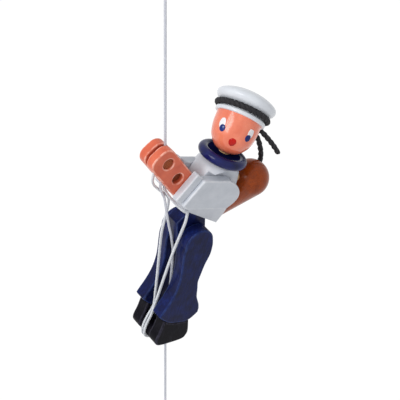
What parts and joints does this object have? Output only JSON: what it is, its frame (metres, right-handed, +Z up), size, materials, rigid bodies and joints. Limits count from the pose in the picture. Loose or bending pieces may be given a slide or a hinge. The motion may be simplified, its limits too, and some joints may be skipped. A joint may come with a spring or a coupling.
{
  "type": "climbing sailor toy",
  "caption": "Painted wooden sailor that hangs by its hands from a string and climbs as the string is pulled, with an elastic cord from hands to feet.",
  "frame": {"origin": "centre of the hanging ring's bore, from which the string hangs", "axes": "+Z up along the string, the figure faces -X, +Y to the figure's right and along the ring's bore"},
  "size_m": [0.0863, 0.0334, 0.3469],
  "materials": {
    "pale_wood": "sanded, clear lacquer",
    "brown_wood": "stained dowel ends, end grain",
    "stained_wood": "brown stain under gloss lacquer",
    "salmon_paint": "satin skin-coloured enamel on wood",
    "face_paint": "glossy skin-coloured enamel on wood",
    "white_paint": "satin white enamel on wood",
    "navy_gloss": "gloss navy enamel on wood",
    "navy_paint": "satin navy paint on wood, grain shows",
    "black_paint": "satin black paint on wood, grain shows",
    "band_cord": "twisted dark cord",
    "string": "smooth white braided string",
    "elastic": "white knitted elastic"
  },
  "bodies": {
    "string": {"hanging_ring": "pale_wood", "string_loop": "string", "top_knot": "string", "string_upper": "string", "string_lower": "string", "pull_bead": "pale_wood", "end_knot": "string"},
    "arms": {"near_hand": "salmon_paint", "far_hand": "salmon_paint", "upper_grip_dowel": "brown_wood", "lower_grip_dowel": "brown_wood", "near_sleeve": "white_paint", "far_sleeve": "white_paint", "near_cuff": "white_paint", "far_cuff": "white_paint", "shoulder_dowel": "pale_wood", "string_in_hands": "string", "string_middle": "string"},
    "torso": {"torso": "white_paint", "collar": "navy_gloss", "neck_dowel": "pale_wood", "kit_bag": "stained_wood", "bag_dowel": "pale_wood", "pelvis_block": "navy_paint", "elastic_hand": "elastic"},
    "head": {"head": "face_paint", "hat": "white_paint", "hat_band": "band_cord", "band_knot": "band_cord", "near_tail": "band_cord", "far_tail": "band_cord"},
    "legs": {"near_leg": "navy_paint", "far_leg": "navy_paint", "near_shoe": "black_paint", "far_shoe": "black_paint", "hip_pin": "pale_wood", "foot_block": "black_paint", "elastic_front": "elastic", "elastic_side": "elastic", "elastic_foot_loop": "elastic"}
  },
  "joints": [
    {"name": "climb", "type": "slide", "parent": "string", "child": "arms", "axis": [0, 0, 1], "range_m": [-0.04, 0.045], "deforming": ["string_upper", "string_lower"]},
    {"name": "shoulder_swing", "type": "hinge", "parent": "arms", "child": "torso", "pos_m": [0.0277, 0, -0.149], "axis": [0, 1, 0], "range_deg": [-8, 0], "deforming": ["elastic_front", "elastic_side", "elastic_hand", "elastic_foot_loop"]},
    {"name": "hip_swing", "type": "hinge", "parent": "torso", "child": "legs", "pos_m": [0.0135, 0, -0.1755], "axis": [0, 1, 0], "range_deg": [0, 11.6]},
    {"name": "head_turn", "type": "hinge", "parent": "torso", "child": "head", "pos_m": [0.0344, 0, -0.1337], "axis": [0.4617, 0, 0.887], "range_deg": [-46, 40], "deforming": ["near_tail", "far_tail"]}
  ],
  "couplings": [
    {"joint": "hip_swing", "follows": "shoulder_swing", "ratio": -1.45}
  ]
}
